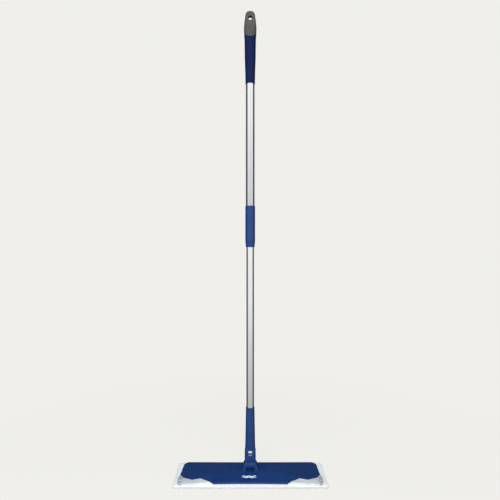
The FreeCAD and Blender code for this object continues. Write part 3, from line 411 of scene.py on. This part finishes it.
def box_lattice(xs, ys, zs, place):
    """Points and outward quads of a closed box cut at xs, ys and zs; place(x, y, z) gives each point's final spot."""
    nx, ny, nz = len(xs) - 1, len(ys) - 1, len(zs) - 1
    index, points, faces = {}, [], []

    def at(i, j, k):
        if (i, j, k) not in index:
            index[i, j, k] = len(points)
            points.append(place(xs[i], ys[j], zs[k]))
        return index[i, j, k]

    for i in range(nx):
        for j in range(ny):
            faces.append((at(i, j, 0), at(i, j + 1, 0), at(i + 1, j + 1, 0), at(i + 1, j, 0)))
            faces.append((at(i, j, nz), at(i + 1, j, nz), at(i + 1, j + 1, nz), at(i, j + 1, nz)))
        for k in range(nz):
            faces.append((at(i, 0, k), at(i + 1, 0, k), at(i + 1, 0, k + 1), at(i, 0, k + 1)))
            faces.append((at(i, ny, k), at(i, ny, k + 1), at(i + 1, ny, k + 1), at(i + 1, ny, k)))
    for j in range(ny):
        for k in range(nz):
            faces.append((at(0, j, k), at(0, j, k + 1), at(0, j + 1, k + 1), at(0, j + 1, k)))
            faces.append((at(nx, j, k), at(nx, j + 1, k), at(nx, j + 1, k + 1), at(nx, j, k + 1)))
    return points, faces


def round_corner(x, y, half_x, half_y, corner):
    """Moves a point of a square-cornered sheet into the same sheet with rounded corners."""
    a = (abs(x) - half_x + corner) / corner
    b = (abs(y) - half_y + corner) / corner
    if a <= 0 or b <= 0:
        return x, y
    new_x = half_x - corner + corner * a * math.sqrt(1 - b * b / 2)
    new_y = half_y - corner + corner * b * math.sqrt(1 - a * a / 2)
    return math.copysign(new_x, x), math.copysign(new_y, y)


def rim(half_x, half_y, corner, spacing):
    """Evenly spaced (x, y, outward x, outward y) around a rounded rectangle, anticlockwise from its front left."""
    straights = [2 * (half_x - corner), 2 * (half_y - corner)]
    arc = math.pi / 2 * corner
    total = 2 * sum(straights) + 4 * arc
    count = round(total / spacing)
    path = []
    for n in range(count):
        along, side = total * n / count, 0
        while along >= straights[side % 2] + arc:
            along -= straights[side % 2] + arc
            side += 1
        turn = side * math.pi / 2
        middle = straights[side % 2] / 2
        angle = turn + max(0.0, along - 2 * middle) / corner
        ahead = min(along, 2 * middle) - middle
        depth = (half_y if side % 2 == 0 else half_x) - corner
        out = (math.sin(angle), -math.cos(angle))
        x = ahead * math.cos(turn) + depth * math.sin(turn) + corner * out[0]
        y = ahead * math.sin(turn) - depth * math.cos(turn) + corner * out[1]
        path.append((x, y, out[0], out[1]))
    return path


def sweep(path, sections):
    """A closed tube; sections[n] lists (inset, height) pairs at path[n]."""
    points, faces = [], []
    size, count = len(sections[0]), len(path)
    for (x, y, out_x, out_y), section in zip(path, sections):
        points += [(x - inset * out_x, y - inset * out_y, z) for inset, z in section]
    for n in range(count):
        here, after = n * size, (n + 1) % count * size
        for k in range(size):
            k_after = (k + 1) % size
            faces.append((here + k, here + k_after, after + k_after, after + k))
    return points, faces


def cord(spine, radius, sides):
    """A round cord with tapered, closed ends along a list of points."""
    points, faces = [], []
    last = len(spine) - 1
    for n, point in enumerate(spine):
        ahead = (spine[min(n + 1, last)] - spine[max(n - 1, 0)]).normalized()
        first = ahead.orthogonal() if n == 0 else (first - ahead * first.dot(ahead)).normalized()
        first.normalize()
        second = ahead.cross(first)
        width = radius * (0.55 if n in (0, last) else 1.0)
        for k in range(sides):
            angle = 2 * math.pi * k / sides
            points.append(point + width * (math.cos(angle) * first + math.sin(angle) * second))
    for n in range(last):
        for k in range(sides):
            k_after = (k + 1) % sides
            here, after = n * sides, (n + 1) * sides
            faces.append((here + k, here + k_after, after + k_after, after + k))
    faces.append(tuple(reversed(range(sides))))
    faces.append(tuple(range(last * sides, (last + 1) * sides)))
    return points, faces


def gather(parts):
    """Several (points, faces) as one."""
    points, faces = [], []
    for some_points, some_faces in parts:
        start = len(points)
        points += some_points
        faces += [tuple([start + v for v in face]) for face in some_faces]
    return points, faces


def smooth_step(low, high, given):
    t = min(1.0, max(0.0, (given - low) / (high - low)))
    return t * t * (3 - 2 * t)


# ------------------------------------------------------------------ the soft pad

# Half sizes and heights in millimetres, from the CAD boxes.
low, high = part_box("pad_binding")
PAD_X, PAD_Y = high.x / MM, high.y / MM
PAD_CORNER = 7.0
HEAD_BASE = high.z / MM  # the top of the pad, where the plate lies on it
low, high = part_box("corner_bumper_right")
BUMPER_X, BUMPER_Y = high.x / MM, -low.y / MM
low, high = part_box("head_shell")
HEAD_X, HEAD_Y = high.x / MM, high.y / MM
SEWN_WIDTH = 5.4  # the tape holds the cushion this far in from the rim
HEAD_MARGIN = 0.6  # the plate holds the cushion this far beyond its own outline
CUSHION_BOTTOM = 3.65
PUFF_LIMIT = 0.75


def under_head(x, y, margin):
    """Whether a point of the pad lies under the plate or a bumper."""
    half = BUMPER_X if y < -18 else HEAD_X - 4.5 * (y + HEAD_Y) / (2 * HEAD_Y)
    front = HEAD_Y + (BUMPER_Y - HEAD_Y) * min(1.0, max(0.0, (abs(x) - 105) / 82))
    return abs(x) < half + margin and -front - margin < y < HEAD_Y + margin


def edge_distance(x, y):
    return min(PAD_X - abs(x), PAD_Y - abs(y))


def bumpiness(x, y, z, size, seed):
    """Smooth noise in -1..1 with features about size across."""
    return noise.noise(Vector((x / size + seed, y / size - seed, z / size + 0.5 * seed)))


def microfibre_pile(material):
    """The wiping layer: a dense pile whose clumps show at its sides and underneath."""
    half_x, half_y, corner = PAD_X - 2.4, PAD_Y - 2.4, PAD_CORNER - 1.5

    def place(x, y, z):
        flat_x, flat_y = round_corner(x, y, half_x, half_y, corner)
        depth = min(half_x - abs(x), half_y - abs(y))
        height = 0.25 + z * 3.1
        clump = bumpiness(flat_x, flat_y, height, 3.2, 3.0) + 0.6 * bumpiness(flat_x, flat_y, height, 1.5, 9.0)
        if depth < 0.01:
            bulge = math.sin(math.pi * min(1.0, z + 0.15)) + 0.5 * clump
            return flat_x * (1 + bulge / half_x), flat_y * (1 + bulge / half_y), height
        if z == 0:
            height = max(0.05, 0.4 + 0.45 * clump)
        return flat_x, flat_y, height

    grid = steps(-half_x, half_x, 2.6), steps(-half_y, half_y, 2.6), steps(0, 1, 0.25)
    piece = new_mesh("microfibre_pile", *box_lattice(*grid, place), material)
    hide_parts("pad_pile")
    return piece


def pile_fringe(material):
    """Short loops of yarn that stick out all around, below the edge tape."""
    dice = random.Random(41)
    loops = []
    for x, y, out_x, out_y in rim(PAD_X - 2.0, PAD_Y - 2.0, PAD_CORNER - 1.5, 1.75):
        base = Vector((x, y, dice.uniform(1.3, 2.5)))
        out, along, up = Vector((out_x, out_y, 0)), Vector((-out_y, out_x, 0)), Vector((0, 0, 1))
        reach = dice.uniform(1.2, 2.5)
        width = dice.uniform(0.5, 1.1)
        droop = min(base.z - 0.7, dice.uniform(0.3, 1.9))
        lean = dice.uniform(-0.9, 0.9)
        twist = dice.uniform(-0.5, 0.5)
        spine = []
        for n in range(9):
            turn = math.pi * n / 8
            far = math.sin(turn) ** 0.8
            side = -math.cos(turn) * width + lean * far
            rise = twist * math.cos(turn) - droop * far
            spine.append(base + out * (reach * far - 0.6) + along * side + up * rise)
        loops.append(cord(spine, dice.uniform(0.3, 0.45), 6))
    return new_mesh("pile_fringe", *gather(loops), material)


def foam_sheet(material):
    """The foam inside the cushion."""
    half_x, half_y = PAD_X - 6.5, PAD_Y - 6.5

    def place(x, y, z):
        x, y = round_corner(x, y, half_x, half_y, 5.0)
        return x, y, 4.3 + 2.4 * z + 0.06 * bumpiness(x, y, 9 * z, 4.0, 5.0)

    grid = steps(-half_x, half_x, 6.0), steps(-half_y, half_y, 6.0), [0.0, 1.0]
    piece = new_mesh("foam_sheet", *box_lattice(*grid, place), material)
    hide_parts("pad_core")
    return piece


def fleece_cushion(material):
    """The loop fabric that covers the foam, blown up a little where the plate and the edge tape don't hold it."""
    inset = 2.6
    half_x, half_y, corner = PAD_X - inset, PAD_Y - inset, PAD_CORNER - 1.5

    def place(x, y, z):
        flat_x, flat_y = round_corner(x, y, half_x, half_y, corner)
        edge = edge_distance(x, y)
        rise = min(1.0, max(0.0, (edge - inset) / 6))
        top = 4.2 + (HEAD_BASE - 0.07 - 4.2) * math.sqrt(1 - (1 - rise) ** 2)
        pucker = 0.16 * bumpiness(flat_x, flat_y, 0, 5.0, 2.0) * smooth_step(4.0, 6.0, edge)
        if z == 0:
            return flat_x, flat_y, CUSHION_BOTTOM
        if under_head(flat_x, flat_y, HEAD_MARGIN) or edge <= SEWN_WIDTH:
            pucker = min(0.0, pucker)
        return flat_x, flat_y, top + pucker

    xs = steps(-half_x, half_x, 2.3)
    ys = steps(-half_y, 16 - half_y, 1.8) + steps(24 - half_y, half_y - 24, 8.0) + steps(half_y - 16, half_y, 1.8)
    points, faces = box_lattice(xs, ys, [0.0, 1.0], place)
    piece = new_mesh("fleece_cushion", points, faces, material)
    held = []
    for n, (x, y, z) in enumerate(points):
        if z < CUSHION_BOTTOM + 0.05 or under_head(x, y, HEAD_MARGIN) or edge_distance(x, y) <= SEWN_WIDTH:
            held.append(n)
    inflate(piece, held, pressure=4.0, frames=20, most=PUFF_LIMIT)
    smooth = piece.modifiers.new("smooth", "SUBSURF")
    smooth.levels = smooth.render_levels = 1
    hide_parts("pad_backing")
    return piece


def inflate(piece, held, pressure, frames, most):
    """Blows a sewn skin up with air and keeps the result as its shape; no point moves further than most."""
    group = piece.vertex_groups.new(name="sewn")
    group.add(held, 1.0, "REPLACE")
    cloth = piece.modifiers.new("cloth", "CLOTH")
    cloth.settings.quality = 6
    cloth.settings.mass = 0.15
    cloth.settings.tension_stiffness = 12
    cloth.settings.compression_stiffness = 12
    cloth.settings.bending_stiffness = 0.3
    cloth.settings.vertex_group_mass = "sewn"
    cloth.settings.use_pressure = True
    cloth.settings.uniform_pressure_force = pressure
    cloth.settings.effector_weights.gravity = 0
    cloth.collision_settings.use_collision = False
    cloth.point_cache.frame_start = 1
    cloth.point_cache.frame_end = frames
    for step in range(1, frames + 1):
        bpy.context.scene.frame_set(step)
    blown = piece.evaluated_get(bpy.context.evaluated_depsgraph_get())
    moved = [vertex.co.copy() for vertex in blown.data.vertices]
    piece.modifiers.remove(cloth)
    bpy.context.scene.frame_set(1)
    furthest = 0.0
    for vertex, goal in zip(piece.data.vertices, moved):
        way = goal - vertex.co
        furthest = max(furthest, way.length)
        limit = most * MM
        if way.length > 1e-9:
            way *= limit * math.tanh(way.length / limit) / way.length
        vertex.co += way
    print("cushion blown up by", round(furthest / MM, 3), "mm at most before the limit")


# The tape's section as (inset from the rim, height): up its outside, then back down its inside.
TAPE_SECTION = [
    (2.4, 3.4), (0.9, 3.55), (0.15, 4.3), (0.0, 5.7), (0.2, 7.1), (1.4, 7.75), (2.6, 7.8), (3.8, 7.9), (5.1, 7.65),
    (5.2, 7.35), (4.4, 7.45), (3.0, 7.45), (1.7, 7.3), (0.95, 6.9), (0.6, 5.9), (0.65, 5.0), (1.2, 4.2), (2.4, 3.8),
]


def edge_tape(material):
    """Tape folded over the pad's edge: a thin C all around, slightly wavy where the thread pulls it."""
    path = rim(PAD_X, PAD_Y, PAD_CORNER, 1.7)
    sections = []
    for n, (x, y, out_x, out_y) in enumerate(path):
        pull = 1 - n % 2  # the thread pulls at every other section
        wave = 0.14 * bumpiness(x, y, 0, 7.0, 1.0) - 0.07 * pull
        lift = 0.10 * bumpiness(x, y, 0, 11.0, 6.0)
        section = []
        for inset, z in TAPE_SECTION:
            loose = smooth_step(3.6, 7.0, z)
            tall = min(0.0, lift) if inset > 3 else lift
            section.append((inset - wave * (inset > 4.5) + 0.5 * wave * (inset < 1), z + tall * loose))
        sections.append(section)
    points, faces = sweep(path, sections)
    piece = new_mesh("edge_tape", points, faces, material)
    smooth = piece.modifiers.new("smooth", "SUBSURF")
    smooth.levels = smooth.render_levels = 1
    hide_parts("pad_binding")
    return piece


def tape_stitches(material):
    """The row of thread that holds the tape."""
    dice = random.Random(7)
    parts = []
    for x, y, out_x, out_y in rim(PAD_X - 2.7, PAD_Y - 2.7, PAD_CORNER - 2.7, 3.4):
        along = Vector((-out_y, out_x, 0)).normalized()
        along = (along + Vector((out_x, out_y, 0)) * dice.uniform(-0.05, 0.05)).normalized()
        centre = Vector((x, y, 7.78))
        spine = []
        for t in (-1.25, -1.05, -0.5, 0.5, 1.05, 1.25):
            dip = 0.3 if abs(t) > 1.2 else (0.12 if abs(t) > 1 else 0.0)
            spine.append(centre + along * t + Vector((0, 0, -dip)))
        parts.append(cord(spine, 0.24, 6))
    return new_mesh("tape_stitches", *gather(parts), material)


def build_pad():
    pile = microfibre("microfibre")
    pieces = [
        (microfibre_pile(pile), "microfibre"),
        (pile_fringe(pile), "microfibre"),
        (foam_sheet(open_foam("foam")), "foam"),
        (fleece_cushion(loop_fleece("loop_fleece")), "loop_fleece"),
        (edge_tape(woven_tape("binding_tape")), "binding_tape"),
        (tape_stitches(sewing_thread("thread")), None),
    ]
    for piece, finish in pieces:
        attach(piece, "pad")


# ------------------------------------------------------------------ the printed mark


# Two rows of waves, in millimetres: the rows' y, then their start and length in x and the number of waves.
WAVE_ROWS = (-30.4, -35.6)
WAVE_START, WAVE_LENGTH, WAVE_COUNT = -23, 40, 2.5
WAVE_SWING, WAVE_HALF_WIDTH, INK_HALF_THICKNESS = 1.2, 1.9, 0.1
WAVE_STEPS = 72


def printed_waves():
    """Two plain wave lines in white ink on the plate's front facet."""
    shell = nodes["head_shell"]
    corners = [shell.matrix_world @ v.co for v in shell.data.vertices]
    skin = BVHTree.FromPolygons(corners, [tuple(p.vertices) for p in shell.data.polygons])

    def height(x, y):
        above = Vector((x * MM, y * MM, 0.1))
        spot = skin.ray_cast(above, Vector((0, 0, -1)))[0]
        return spot.z / MM

    ribbons = []
    turns, ink = 2 * math.pi * WAVE_COUNT, INK_HALF_THICKNESS
    for middle in WAVE_ROWS:
        points, faces = [], []
        for n in range(WAVE_STEPS + 1):
            t = n / WAVE_STEPS
            x = WAVE_START + WAVE_LENGTH * t
            y = middle + WAVE_SWING * math.sin(turns * t)
            slope = WAVE_SWING * turns / WAVE_LENGTH * math.cos(turns * t)
            across = Vector((-slope, 1)).normalized()
            half = WAVE_HALF_WIDTH * math.sin(math.pi * (0.04 + 0.92 * t)) ** 0.4  # tapers at both ends
            for side, lift in ((1, -ink), (1, ink), (-1, ink), (-1, -ink)):
                px, py = x + side * half * across.x, y + side * half * across.y
                points.append((px, py, height(px, py) + lift))
        for n in range(WAVE_STEPS):
            here, after = 4 * n, 4 * n + 4
            for k in range(4):
                k_after = (k + 1) % 4
                faces.append((here + k, here + k_after, after + k_after, after + k))
        faces.append((3, 2, 1, 0))
        faces.append(tuple([4 * WAVE_STEPS + k for k in range(4)]))
        ribbons.append((points, faces))
    mark = new_mesh("printed_waves", *gather(ribbons), printed_ink("printed_ink"))
    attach(mark, "head")


# ------------------------------------------------------------------ stage


def stage_floor():
    """A plain pale floor: it takes a faint shadow near the mop, and fades into the background further out."""
    half = FLOOR_HALF
    data = bpy.data.meshes.new("floor")
    data.from_pydata([(-half, -half, 0), (half, -half, 0), (half, half, 0), (-half, half, 0)], [], [(0, 1, 2, 3)])
    floor = bpy.data.objects.new("floor", data)
    bpy.context.scene.collection.objects.link(floor)
    s = Shader("floor_paint")
    reach = s.add("ShaderNodeVectorMath", "Value", {"operation": "LENGTH"}, _0=s.place)
    plain = s.remap(reach, *FLOOR_FADE, FLOOR_PLAIN, 1.0)
    lit = s.add("ShaderNodeBsdfDiffuse", 0, Color=shade(srgb(*BACKGROUND), FLOOR_MATCH))
    glow = s.add("ShaderNodeEmission", 0, Color=srgb(*BACKGROUND), Strength=1.0)
    seen = s.add("ShaderNodeMixShader", 0, _0=plain, _1=lit, _2=glow)
    dim = s.add("ShaderNodeBsdfDiffuse", 0, Color=(FLOOR_ALBEDO, FLOOR_ALBEDO, FLOOR_ALBEDO, 1.0))
    # In reflections the floor is a glow of painted light: brighter towards the front like the world, with a painted
    # shadow near the mop.
    ahead = s.math("DIVIDE", s.axis("Y"), reach)
    front = s.remap(ahead, WORLD_EDGE + WORLD_SOFT, WORLD_EDGE - WORLD_SOFT, WORLD_REST, 1.0)
    front = s.math("MULTIPLY", front, s.remap(reach, *MIRRORED_PAINTED_SHADOW, MIRRORED_LEAST, 1.0))
    paler = s.math("MULTIPLY", front, s.remap(reach, *MIRRORED_FADE, MIRRORED_NEAR, MIRRORED_FAR))
    mirrored = s.add("ShaderNodeEmission", 0, Color=(1.0, 1.0, 1.0, 1.0), Strength=paler)
    bounced = s.add("ShaderNodeMixShader", 0, _0=s.add("ShaderNodeLightPath", "Is Glossy Ray"), _1=dim, _2=mirrored)
    camera = s.add("ShaderNodeLightPath", "Is Camera Ray")
    mixed = s.add("ShaderNodeMixShader", 0, _0=camera, _1=bounced, _2=seen)
    s.tree.links.new(mixed, s.tree.nodes["Material Output"].inputs["Surface"])
    floor.data.materials.append(s.material)


def studio_world():
    """The camera sees a plain pale background; surfaces are lit by a wide soft front, with dark sides and rear."""
    world = bpy.data.worlds.new("studio")
    bpy.context.scene.world = world
    world.use_nodes = True
    tree = world.node_tree
    tree.nodes.clear()

    def link(socket, target):
        tree.links.new(socket, target)

    def ramp(source, low, high, to_low, to_high):
        node = tree.nodes.new("ShaderNodeMapRange")
        node.interpolation_type = "SMOOTHSTEP"
        for label, number in zip(("From Min", "From Max", "To Min", "To Max"), (low, high, to_low, to_high)):
            node.inputs[label].default_value = number
        link(source, node.inputs["Value"])
        return node.outputs[0]

    def calculate(operation, a, b=0.0):
        node = tree.nodes.new("ShaderNodeMath")
        node.operation = operation
        link(a, node.inputs[0])
        if isinstance(b, float):
            node.inputs[1].default_value = b
        else:
            link(b, node.inputs[1])
        return node.outputs[0]

    split = tree.nodes.new("ShaderNodeSeparateXYZ")
    link(tree.nodes.new("ShaderNodeTexCoord").outputs["Generated"], split.inputs[0])
    front = ramp(split.outputs["Y"], WORLD_EDGE + WORLD_SOFT, WORLD_EDGE - WORLD_SOFT, 0.0, WORLD_FRONT)
    sky_low, sky_high, sky_share = WORLD_SKY
    low_sky = ramp(split.outputs["Z"], sky_low, sky_high, 1.0, sky_share)
    off_middle = calculate("ABSOLUTE", split.outputs["X"])
    dim_strip = ramp(off_middle, *WORLD_DIP_EDGES, WORLD_DIP, 1.0)
    product = calculate("MULTIPLY", calculate("MULTIPLY", front, low_sky), dim_strip)
    total = calculate("ADD", product, WORLD_REST)
    lit = tree.nodes.new("ShaderNodeBackground")
    link(total, lit.inputs["Strength"])
    lit.inputs["Color"].default_value = (1.0, 1.0, 1.0, 1.0)
    seen = tree.nodes.new("ShaderNodeBackground")
    seen.inputs["Color"].default_value = srgb(*BACKGROUND)
    mixed = tree.nodes.new("ShaderNodeMixShader")
    link(tree.nodes.new("ShaderNodeLightPath").outputs["Is Camera Ray"], mixed.inputs[0])
    link(lit.outputs[0], mixed.inputs[1])
    link(seen.outputs[0], mixed.inputs[2])
    link(mixed.outputs[0], tree.nodes.new("ShaderNodeOutputWorld").inputs["Surface"])


def area_light(name, place, target, size, power):
    """A soft box that lights surfaces but is hidden from reflections."""
    data = bpy.data.lights.new(name, "AREA")
    data.shape = "RECTANGLE"
    data.size, data.size_y = size
    data.energy = power
    light = bpy.data.objects.new(name, data)
    light.location = place
    light.visible_glossy = False
    light.rotation_euler = (Vector(target) - Vector(place)).to_track_quat("-Z", "Y").to_euler()
    bpy.context.scene.collection.objects.link(light)


def studio_lights():
    """A large soft box in front of the mop, above the camera, and a weak one behind it to open up the rear."""
    area_light("key", *KEY)
    area_light("rear_fill", *REAR_FILL)


def photo_camera():
    """Level camera in front of the mop, about half-way up the handle."""
    data = bpy.data.cameras.new("camera")
    data.sensor_fit = "HORIZONTAL"
    data.angle = math.radians(CAMERA_VIEW)
    data.clip_end = 200
    camera = bpy.data.objects.new("camera", data)
    camera.location = CAMERA_PLACE
    camera.rotation_euler = (math.radians(90), 0, 0)
    bpy.context.scene.collection.objects.link(camera)
    bpy.context.scene.camera = camera


# ------------------------------------------------------------------ build

dress_frame()
soften(0.0008, 2, "head_shell", "hinge_bracket")
soften(0.0014, 3, "corner_bumper_left", "corner_bumper_right")
soften(0.0016, 3, "handle_socket")
soften(0.0006, 2, "yoke", "collar", "grip_cap", "grip")
build_pad()
printed_waves()
stage_floor()
studio_world()
studio_lights()
photo_camera()
bpy.context.scene.view_settings.view_transform = "Standard"
